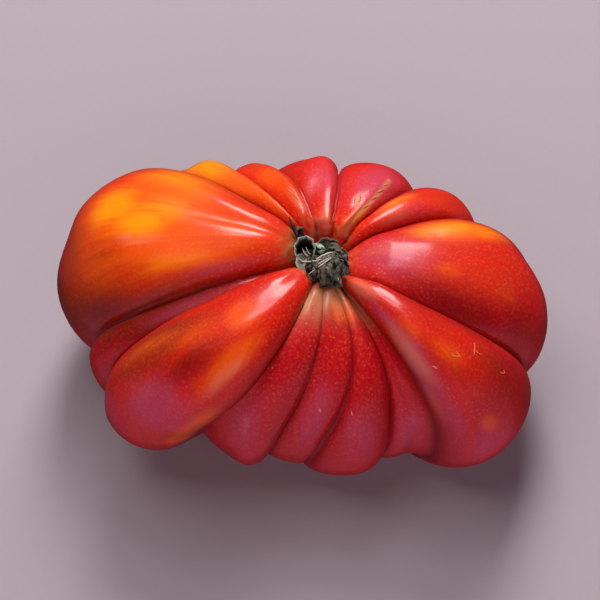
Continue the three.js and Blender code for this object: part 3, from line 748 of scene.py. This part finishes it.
def add_cushion(tissue, around, steps):
    """Adds the lump that stalk and sepals grow from, wrinkled all over."""
    angle = circle(around)
    down = np.linspace(0.02, np.pi - 0.02, steps)[:, None]
    rings = CUSHION["half"] * np.stack([
        np.sin(down) * np.cos(angle), np.sin(down) * np.sin(angle), np.cos(down) + 0 * angle], -1)
    wrinkle = noise_field(rings, 1.6, 71) + 0.6 * noise_field(rings, 0.7, 72)
    rings = rings * (1 + 0.12 * wrinkle[..., None])
    turn = Matrix.Rotation(math.radians(CUSHION["turn"]), 3, "Z")
    rings = rings @ np.array(turn).T + np.array(CUSHION["at"])
    # Paler where the wrinkles stand out: painted light on them, and painted shade between them
    tissue.add_tube(rings[::-1], ridge=np.clip(0.5 + 0.5 * wrinkle[::-1], 0, 1))


def add_fibre(tissue, line, thickness, seed, rows=26, around=7):
    """Adds a loose dry fibre: a thin uneven tube that tapers to both ends."""
    middle, ahead = smooth_line(line, rows)
    side = carried_sides(ahead, 0)
    face = np.cross(side, ahead)
    t = np.linspace(0, 1, rows)
    middle = middle + 0.12 * noise_field(middle, 0.8, seed)[:, None] * face
    uneven = 1 + 0.2 * noise_field(middle, 0.4, seed + 1)
    radius = thickness / 2 * (0.35 + 0.65 * np.sin(np.pi * t) ** 0.5) * uneven
    tissue.add_tube(tube(middle, side, face, radius, radius, around), straw=1.0, ridge=1.0)


def add_mark(tissue, lobe, places, width, pink, seed, rows=30, around=8):
    """Adds a healed mark: a low uneven ridge that follows the skin and tapers to both ends."""
    stations = np.linspace(0, 1, len(places))
    t = np.linspace(0, 1, rows)
    across, down = (through(t, stations, [place[axis] for place in places]) for axis in (0, 1))
    line = np.array([skin_point(lobe, s, v) for s, v in zip(across, down)])
    aside = np.array([skin_point(lobe, s + NEAR, v) for s, v in zip(across, down)]) - line
    below = np.array([skin_point(lobe, s, v + NEAR / 2) for s, v in zip(across, down)]) - line
    normal = unit(np.cross(below, aside))
    side = unit(np.cross(np.gradient(line, axis=0), normal))
    uneven = 1 + 0.4 * noise_field(line, 0.5, seed)
    taper = (0.1 + 0.9 * np.sin(np.pi * t) ** 0.6) * uneven
    rings = tube(line - STALK, side, normal, width / 2 * taper, MARK_HEIGHT * taper, around)
    tissue.add_tube(rings, pink=pink, ridge=np.clip(uneven - 0.5, 0, 1)[:, None])


def add(tree, kind, inputs=None, **settings):
    """Adds a shader node with its settings, sets or links its inputs, and gives its outputs."""
    node = tree.nodes.new("ShaderNode" + kind)
    for name, value in settings.items():
        setattr(node, name, value)
    for name, value in (inputs or {}).items():
        socket = node.inputs[name]
        if isinstance(value, bpy.types.NodeSocket):
            tree.links.new(value, socket)
        else:
            socket.default_value = (*value, 1) if socket.type == "RGBA" else value
    return node.outputs


def new_material(name):
    """A material with an empty tree, that tree, and the place on the object in metres."""
    material = bpy.data.materials.new(name)
    material.use_nodes = True
    tree = material.node_tree
    tree.nodes.clear()
    return material, tree, add(tree, "TexCoord")["Object"]


def tint(name, code, description):
    """A colour property whose default is an sRGB hex value."""
    return FloatVectorProperty(
        name=name, description=description, subtype="COLOR", default=linear(code), min=0, max=1)


class TomatoColours(bpy.types.PropertyGroup):
    """Colours of the skin, the dried calyx and the floor."""

    red: tint("Ripe red", "#e0230a", "Skin where the fruit is ripe")
    crimson: tint("Crimson", "#c00d1c", "Skin of the ripest lobes")
    # Painted shade: the maroon laid deep in the creases
    crease_shade_maroon: tint("Maroon", "#5c0206", "Skin deep in the creases")
    # Dull brown: partly skin that is still turning, partly painted shade on the left lobe's lower
    # flank
    brown: tint("Dull brown", "#7e2a14", "Skin that turns slowly in the shade")
    amber: tint("Amber", "#f0560a", "Skin that is still turning")
    gold: tint("Gold", "#ff9606", "Least ripe skin, on the shoulders")
    # Painted sheen: the violet reflection that is painted into the skin's colour
    bloom_and_painted_sheen: tint("Bloom", "#c23f5c", "Thin violet bloom of wax")
    blush_and_painted_highlight: tint("Blush", "#e88264", "Pale pink bloom along the crests")
    # Partly real blush, partly painted highlight and painted bounce light
    pore: tint("Pores", "#ff8244", "Pale pores and cells that show through the skin")
    olive: tint("Olive", "#7a5a1e", "Skin that stays green-brown at the calyx")
    cork: tint("Cork", "#c89468", "Corky skin round the stalk, at the scar and along cracks")
    # The calyx's fold colour is painted shade; its ridge colour is partly wear and partly painted
    # light
    calyx_dark_and_fold_shade: tint("Calyx folds", "#12100c", "Dried calyx deep in its folds")
    calyx_pale: tint("Calyx ridges", "#8a8271", "Dried calyx on its raised folds")
    calyx_olive: tint("Calyx olive", "#2f3422", "Dried calyx that was green longest")
    # Painted shade: the near-black inside of the stalk's stub
    calyx_hollow_shade: tint("Stub's hollow", "#101013", "Inside of the stalk's stub")
    mint: tint("Calyx mint", "#b4cfae", "Last green of the calyx, gone pale")
    straw: tint("Straw", "#dcd4c2", "Loose dry fibres and torn edges")
    floor: tint("Floor", "#a89fa5", "Plain studio floor")


def length(name, value, least, description):
    """A length property whose default and minimum are in millimetres."""
    return FloatProperty(name=name, description=description, default=value * MM, min=least * MM,
                         unit="LENGTH", subtype="DISTANCE")


def mesh_count(name, value, least, most, description):
    """A property that counts rows or columns of a mesh."""
    return IntProperty(name=name, description=description, default=value, min=least, max=most)


class TomatoSizes(bpy.types.PropertyGroup):
    """Fineness of the meshes and sizes of the skin's details."""

    rows: mesh_count("Rows", 270, 40, 280, "Rows of the fruit's mesh from stalk to scar")
    fineness: mesh_count("Fineness", 3, 1, 3, "Times as many columns as the plain solid")
    wave: length("Skin wave", 7, 1, "Length of the skin's small waves")
    wave_height: length("Wave height", 0.07, 0, "Height of the skin's small waves")
    streak: length("Streak width", 1.6, 0.1, "Width of the streaks that run from stalk to scar")
    cloud: length("Cloud size", 12, 1, "Size of the soft clouds in the skin's colour")
    pore_spacing: length("Pore spacing", 1.3, 0.2, "Distance between the pores round the stalk")
    mottle: length("Mottling", 0.7, 0.1, "Size of the cells that show through the skin")
    sepal_rows: mesh_count("Sepal rows", 64, 12, 120, "Rows of a sepal's mesh from root to tip")
    sepal_columns: mesh_count("Sepal columns", 25, 7, 60, "Points across a sepal")
    grain: length("Calyx grain", 0.35, 0.05, "Size of the dried tissue's grain")


def skin_material(colours, sizes):
    """Tomato skin: thin clear wax over wet flesh, so a soft gloss over faintly glowing colour."""
    material, tree, place = new_material("waxy_tomato_skin")
    flow = add(tree, "Attribute", attribute_name="flow")["Vector"]
    masks = {name: add(tree, "Attribute", attribute_name=name)["Fac"] for name in SKIN_MASKS}

    # Streaks follow the meridians: the flow vector is stretched, so the noise is long down a lobe
    round_axis = STREAK_REACH * MM / sizes.streak
    stretched = add(tree, "VectorMath", {
        0: flow, 1: (round_axis, round_axis, STREAKS_DOWN)}, operation="MULTIPLY")[0]
    streaks, clouds, cells = (
        add(tree, "TexNoise", {
            "Vector": vector, "Scale": scale, "Detail": detail, "Roughness": rough})["Fac"]
        for vector, scale, detail, rough in (
            (stretched, 1.0, 4.0, 0.6), (place, 1 / sizes.cloud, 3.0, 0.55),
            (place, 1 / sizes.mottle, 2.0, 0.7)))
    pores = add(tree, "TexVoronoi", {"Vector": place, "Scale": 1 / sizes.pore_spacing})["Distance"]

    # Every mask is broken by the streaks and the clouds, so that no patch has a plain edge
    uneven = add(tree, "Math", {0: streaks, 1: clouds}, operation="ADD")[0]
    shares = {}
    for name, low, high, most in (
        ("crimson", 0.1, 1.0, 1.0), ("brown", 0.15, 0.9, 0.85), ("amber", 0.12, 0.8, 1.0),
        ("gold", 0.1, 1.0, 1.0), ("bloom_and_painted_sheen", 0.1, 0.9, 0.85), ("blush_and_painted_highlight", 0.2, 1.0, 0.6),
    ):
        broken = add(tree, "Math", {0: masks[name], 1: uneven}, operation="MULTIPLY")[0]
        shares[name] = add(tree, "MapRange", {
            "Value": broken, "From Min": low, "From Max": high, "To Max": most},
            interpolation_type="SMOOTHSTEP")[0]

    # Where pores, cells and ripe streaks show, and how rough and how waxy the skin is
    for name, value, low, high, first, last in (
        ("dots", pores, 0.1, 0.26, 0.4, 0.0), ("cells", cells, 0.5, 0.72, 0.0, 0.2),
        ("streaks", streaks, 0.42, 0.7, 0.0, 0.5), ("roughness", cells, 0.3, 0.7, 0.38, 0.5),
        ("gloss", masks["bloom_and_painted_sheen"], 0.0, 0.8, 0.6, 0.25),
    ):
        shares[name] = add(tree, "MapRange", {
            "Value": value, "From Min": low, "From Max": high, "To Min": first, "To Max": last})[0]
    shares["pores"] = add(tree, "Math", {
        0: shares["dots"], 1: masks["pores"]}, operation="MULTIPLY")[0]
    dry = add(tree, "Mix", {0: masks["cork"], 2: shares["roughness"], 3: 0.75})[0]

    # Red first, and the other colours over it in layers; the sheen, the highlights and the creases'
    # maroon among them are painted light and shade
    colour = colours.red
    for name, above in (
        ("crimson", "crimson"), ("streaks", "crimson"), ("brown", "brown"), ("amber", "amber"),
        ("gold", "gold"), ("bloom_and_painted_sheen", "bloom_and_painted_sheen"), ("blush_and_painted_highlight", "blush_and_painted_highlight"), ("cells", "pore"),
        ("pores", "pore"), ("deep_red_and_crease_shade", "crease_shade_maroon"), ("olive", "olive"), ("cork", "cork"),
    ):
        share = shares.get(name, masks.get(name))
        above = getattr(colours, above)
        colour = add(tree, "Mix", {0: share, 6: colour, 7: above}, data_type="RGBA")[2]
    fine = add(tree, "Bump", {
        "Height": cells, "Strength": 0.35, "Distance": 0.04 * MM})["Normal"]
    lined = add(tree, "Bump", {
        "Height": streaks, "Strength": 0.2, "Distance": 0.12 * MM, "Normal": fine})["Normal"]
    shader = add(tree, "BsdfPrincipled", {
        "Base Color": colour, "Roughness": dry, "Normal": lined, "IOR": 1.38,
        "Specular IOR Level": 0.15, "Subsurface Weight": 0.1, "Subsurface Radius": (1.0, 0.2, 0.1),
        "Subsurface Scale": 2 * MM, "Coat Weight": shares["gloss"], "Coat Roughness": 0.17,
        "Coat IOR": 1.45})
    add(tree, "OutputMaterial", {"Surface": shader["BSDF"]})
    return material


def finish(tree, colour, grain, strength, depth, values):
    """Gives a matt surface its colour, the relief of its grain and its shader's values."""
    bump = add(tree, "Bump", {"Height": grain, "Strength": strength, "Distance": depth * MM})
    shader = add(tree, "BsdfPrincipled", {"Base Color": colour, "Normal": bump["Normal"], **values})
    add(tree, "OutputMaterial", {"Surface": shader["BSDF"]})


def calyx_material(colours, sizes):
    """Dried leaf tissue: matt and papery, with painted shade in its folds and paler raised ridges,
    partly wear and partly painted light.
    """
    material, tree, place = new_material("dried_papery_calyx")
    masks = {name: add(tree, "Attribute", attribute_name=name)["Fac"] for name in Tissue.MASKS}
    grain = add(tree, "TexNoise", {
        "Vector": place, "Scale": 1 / sizes.grain, "Detail": 4.0, "Roughness": 0.65})["Fac"]
    blotch = add(tree, "TexNoise", {
        "Vector": place, "Scale": 1 / (8 * sizes.grain), "Detail": 2.0})["Fac"]
    pale_share = add(tree, "Math", {0: masks["ridge"], 1: grain}, operation="MULTIPLY")[0]
    pale_share = add(tree, "MapRange", {"Value": pale_share, "From Min": 0.18, "From Max": 0.5})[0]
    green = add(tree, "MapRange", {
        "Value": blotch, "From Min": 0.48, "From Max": 0.62, "To Max": 0.5})[0]
    # Painted shade as the base, paler ridges as painted light with wear, then olive, the hollow's
    # painted shade, straw and mint
    colour = colours.calyx_dark_and_fold_shade
    for share, above in (
        (pale_share, colours.calyx_pale), (green, colours.calyx_olive),
        (masks["hollow"], colours.calyx_hollow_shade), (masks["straw"], colours.straw),
        (masks["mint"], colours.mint),
    ):
        colour = add(tree, "Mix", {0: share, 6: colour, 7: above}, data_type="RGBA")[2]
    finish(tree, colour, grain, 0.8, 0.12, {"Roughness": 0.72, "Specular IOR Level": 0.35})
    return material


def cork_material(colours, sizes):
    """Cork that has healed over a scratch: dry, matt and finely grained, tan or grown over pink."""
    material, tree, place = new_material("healed_cork")
    pink = add(tree, "Attribute", attribute_name="pink")["Fac"]
    grain = add(tree, "TexNoise", {
        "Vector": place, "Scale": 1 / sizes.grain, "Detail": 3.0, "Roughness": 0.6})["Fac"]
    pale_share = add(tree, "MapRange", {"Value": grain, "From Min": 0.35, "From Max": 0.65})[0]
    colour = colours.amber
    for share, above in ((pale_share, colours.cork), (pink, colours.blush_and_painted_highlight)):
        colour = add(tree, "Mix", {0: share, 6: colour, 7: above}, data_type="RGBA")[2]
    finish(tree, colour, grain, 0.5, 0.06, {"Roughness": 0.55})
    return material


def paper_material(colours):
    """Matt seamless paper: a faint even fibre keeps the floor from looking like a flat fill."""
    material, tree, place = new_material("matt_seamless_paper")
    fibre = add(tree, "TexNoise", {"Vector": place, "Scale": 1 / (1.5 * MM), "Detail": 3.0})["Fac"]
    shade = [value * 0.96 for value in colours.floor]
    tone = add(tree, "Mix", {0: fibre, 6: shade, 7: colours.floor}, data_type="RGBA")[2]
    finish(tree, tone, fibre, 0.1, 0.05, {"Roughness": 0.85})
    return material


def put(name, mesh, material, slot=None, node=None):
    """A new object of a mesh, with its material. A piece of the tomato rides on the body."""
    piece = bpy.data.objects.new(name, mesh)
    bpy.context.scene.collection.objects.link(piece)
    mesh.materials.append(material)
    if slot:
        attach(piece, "root")
        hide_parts(node)
    return piece


class TOMATO_OT_fruit(bpy.types.Operator):
    """Adds the fruit: its lobes, creases, scars and waxy skin."""

    bl_idname = "tomato.fruit"
    bl_label = "Add the fruit"

    def execute(self, context):
        sizes, colours = context.scene.tomato_sizes, context.scene.tomato_colours
        grid = FruitGrid(sizes.rows, sizes.fineness)
        v = grid.station
        angle = np.radians(grid.azimuth)
        top = v < 0.5
        distance = line_distance(grid.points, np.array([skin_point(*place) for place in CRACK]))
        crack = bell(distance, 0, CRACK_WIDTH)
        axis = np.hypot(grid.points[..., 0] - STALK[0], grid.points[..., 1] - STALK[1])
        rough = noise_field(grid.points, 1.3, 4)
        folds = noise_field(np.stack([14 * np.cos(angle), 14 * np.sin(angle), 26 * v], -1), 1.5, 3)
        ring = np.where(top, bell(axis, RING_RADIUS, RING_WIDTH), 0)
        scar = np.where(top, 0, np.exp(-(axis * (1 + 0.5 * folds) / SCAR_RADIUS) ** 4))
        navel = np.where(top, 0, bell(axis, 0, NAVEL_RADIUS))

        # Small waves all over, finer folds that run out from the stalk, and the crack's raised lips
        waves = noise_field(grid.points, sizes.wave / MM, 1)
        waves += 0.35 * noise_field(grid.points, 2.6, 2)
        height = sizes.wave_height / MM * waves * np.clip(np.sin(np.pi * v) * 3, 0, 1)
        height += FOLD_HEIGHT * folds * bell(v, 0.17, 0.1)
        height += LIP_HEIGHT * bell(distance, 0, LIP_WIDTH) - CRACK_DEPTH * crack
        height += CORK_HEIGHT * rough * np.maximum(ring, scar) + SCAR_FOLD_HEIGHT * folds * scar
        grid.press(height - NAVEL_DEPTH * navel)

        # The patches, and over them what follows the lobes, painted shade in the creases, and the
        # stalk
        masks = {name: patch_mask(grid.points, patches) for name, patches in PATCHES.items()}
        front = np.isin(grid.lobe, (FRONT_THIRD, FRONT_SECOND, FRONT_FIRST, FRONT_SMALL))
        back = np.isin(grid.lobe, (RIGHT_BACK, BACK_RIGHT, BACK, BACK_LEFT, LEFT_BACK))
        left = np.isin(grid.lobe, (LEFT, LEFT_FRONT))
        ripe = np.array(RIPENESS)[grid.lobe] * np.clip(v / 0.2, 0, 1)
        turning = np.array(TURNING)[grid.lobe] * grid.weight * bell(v, 0.35, 0.2)
        low = np.clip((v - 0.4) / 0.3, 0, 1)
        # Painted shade in the creases: the nearer a point lies to a crease, the darker the skin
        deep_red_and_crease_shade = (1 - grid.weight) ** 2.2 * np.clip(np.sin(np.pi * v) * 1.6, 0, 1)
        tan = np.where(front, bell(v, 0.22, 0.055), 0) * (0.7 + 0.6 * folds)
        corky = 0.85 * crack + ring * (0.2 + 0.5 * rough) + np.maximum(tan, 0)
        corky += scar * (0.75 + 0.3 * rough) - navel
        masks["deep_red_and_crease_shade"] = np.maximum(masks["deep_red_and_crease_shade"], deep_red_and_crease_shade * np.where(back, 0.55, 0.7))
        # Crimson also deepens towards the bottom: partly riper skin, partly painted shade on the
        # lower lobes
        masks["crimson"] = np.clip(np.maximum(masks["crimson"], ripe) + 0.45 * low, 0, 1)
        masks["brown"] = np.maximum(masks["brown"], 1.5 * navel)
        masks["amber"] = np.maximum(masks["amber"], turning)
        masks["pores"] = np.where(top, bell(axis, 16, 12), 0.1)
        masks["olive"] = np.clip(np.where(left, ring, 0) * (0.7 + 0.6 * rough), 0, 1)
        masks["cork"] = np.clip(corky, 0, 1)
        skin_finish = skin_material(colours, sizes)
        put("fruit_skin", grid.mesh("fruit_skin", masks), skin_finish, slot="skin", node="fruit")

        marks = Tissue()
        for seed, mark in enumerate(MARKS):
            add_mark(marks, *mark, 120 + seed)
        cork = cork_material(colours, sizes)
        put("skin_marks", marks.mesh("skin_marks"), cork, slot="skin", node="fruit")
        return {"FINISHED"}


class TOMATO_OT_calyx(bpy.types.Operator):
    """Adds the dried calyx: its cushion, hollow stub, shrivelled sepals and loose fibres."""

    bl_idname = "tomato.calyx"
    bl_label = "Add the calyx"

    def execute(self, context):
        sizes = context.scene.tomato_sizes
        cushion, stub, leaves, fibres = Tissue(), Tissue(), Tissue(), Tissue()
        add_cushion(cushion, 64, 40)
        add_stub(stub, 72, 16)
        for seed, sepal in enumerate(SEPALS):
            add_sepal(leaves, sepal, seed, sizes.sepal_rows, sizes.sepal_columns)
        for seed, (line, thickness) in enumerate(FIBRES):
            add_fibre(fibres, line, thickness, 80 + 2 * seed)
        dried = calyx_material(context.scene.tomato_colours, sizes)
        for name, tissue in (("calyx_cushion", cushion), ("calyx_stub", stub),
                             ("calyx_sepals", leaves), ("calyx_fibres", fibres)):
            put(name, tissue.mesh(name), dried, slot="dried_calyx", node="calyx")
        return {"FINISHED"}


class TOMATO_OT_stage(bpy.types.Operator):
    """Adds the plain floor, the soft studio light and the camera."""

    bl_idname = "tomato.stage"
    bl_label = "Add the stage"

    def execute(self, context):
        scene = context.scene
        floor = bpy.data.meshes.new("studio_floor")
        corners = np.array([(-1, -1, 0), (1, -1, 0), (1, 1, 0), (-1, 1, 0)]) * FLOOR_HALF
        floor.from_pydata(corners.tolist(), [], [(0, 1, 2, 3)])
        stage_floor = put("studio_floor", floor, paper_material(scene.tomato_colours))
        stage_floor.visible_glossy = False
        self.lights(scene)
        self.camera(scene)
        scene.view_settings.view_transform = "Standard"
        return {"FINISHED"}

    def lights(self, scene):
        """A key and a fill that only light, two soft panes that the skin mirrors, and a room."""
        for name, place, width, height, power, colour, shows in (
            ("key", (-0.3, 0.1, 0.95), 0.6, 0.6, 3.4, (1, 0.97, 0.95), False),
            ("fill", (0.1, -0.8, 0.45), 1.2, 0.6, 2.9, (1, 0.84, 0.92), False),
            ("pane_behind", (0.075, 0.73, 0.72), 0.32, 0.48, 9.5, (1, 0.93, 0.95), True),
            ("pane_above", (-0.02, 0.42, 0.94), 0.26, 0.2, 1.6, (1, 0.9, 0.95), True),
        ):
            light = bpy.data.lights.new(name, "AREA")
            light.shape = "RECTANGLE"
            light.size = width
            light.size_y = height
            light.energy = power
            light.color = colour
            lamp = bpy.data.objects.new(name, light)
            lamp.location = place
            lamp.rotation_euler = (LIT - lamp.location).to_track_quat("-Z", "Y").to_euler()
            lamp.visible_glossy = shows
            scene.collection.objects.link(lamp)
        world = bpy.data.worlds.new("pale_room")
        world.use_nodes = True
        tree = world.node_tree
        direction = add(tree, "TexCoord")["Generated"]
        axes = add(tree, "SeparateXYZ", {0: direction})
        dimming = add(tree, "MapRange", {
            "Value": axes["Z"], "From Min": 0.1, "From Max": 0.5, "To Min": 1.0, "To Max": 0.1},
            interpolation_type="SMOOTHSTEP")[0]
        facing = add(tree, "MapRange", {
            "Value": axes["Y"], "From Min": -1.0, "From Max": 0.0, "To Min": 0.8,
            "To Max": 0.04})[0]
        strength = add(tree, "Math", {0: dimming, 1: facing}, operation="MULTIPLY")[0]
        background = tree.nodes["Background"]
        background.inputs["Color"].default_value = (0.86, 0.66, 0.95, 1)
        tree.links.new(strength, background.inputs["Strength"])
        scene.world = world

    def camera(self, scene):
        """Looks down on the stalk from the front at 55 degrees, as the photograph does."""
        elevation = math.radians(ELEVATION)
        camera = bpy.data.cameras.new("camera")
        camera.sensor_width = 36
        camera.lens = PIXELS_PER_METRE * DISTANCE * camera.sensor_width / IMAGE
        camera.shift_x = 0.5 - STALK_PIXEL[0] / IMAGE
        camera.shift_y = STALK_PIXEL[1] / IMAGE - 0.5
        aim = Vector((STALK[0] * MM, STALK[1] * MM, (CAVITY_FLOOR - FOOT_FLAT) * MM))
        back = Vector((0, -math.cos(elevation), math.sin(elevation)))
        eye = bpy.data.objects.new("camera", camera)
        eye.location = aim + back * DISTANCE
        eye.rotation_euler = (math.pi / 2 - elevation, 0, 0)
        scene.collection.objects.link(eye)
        scene.camera = eye


class TOMATO_PT_panel(bpy.types.Panel):
    """Lists the tomato's sizes, colours and operators."""

    bl_idname = "TOMATO_PT_panel"
    bl_label = "Ribbed tomato"
    bl_space_type = "VIEW_3D"
    bl_region_type = "UI"
    bl_category = "Tomato"

    def draw(self, context):
        for group in (context.scene.tomato_sizes, context.scene.tomato_colours):
            box = self.layout.box()
            for name in type(group).__annotations__:
                box.prop(group, name)
        for operator in OPERATORS:
            self.layout.operator(operator.bl_idname)


OPERATORS = (TOMATO_OT_fruit, TOMATO_OT_calyx, TOMATO_OT_stage)
CLASSES = (TomatoColours, TomatoSizes) + OPERATORS + (TOMATO_PT_panel,)


def register():
    for cls in CLASSES:
        bpy.utils.register_class(cls)
    bpy.types.Scene.tomato_sizes = PointerProperty(type=TomatoSizes)
    bpy.types.Scene.tomato_colours = PointerProperty(type=TomatoColours)


def unregister():
    del bpy.types.Scene.tomato_colours
    del bpy.types.Scene.tomato_sizes
    for cls in reversed(CLASSES):
        bpy.utils.unregister_class(cls)


def main():
    """Builds everything in order."""
    register()
    bpy.ops.tomato.fruit()
    bpy.ops.tomato.calyx()
    bpy.ops.tomato.stage()


if __name__ == "__main__":
    main()
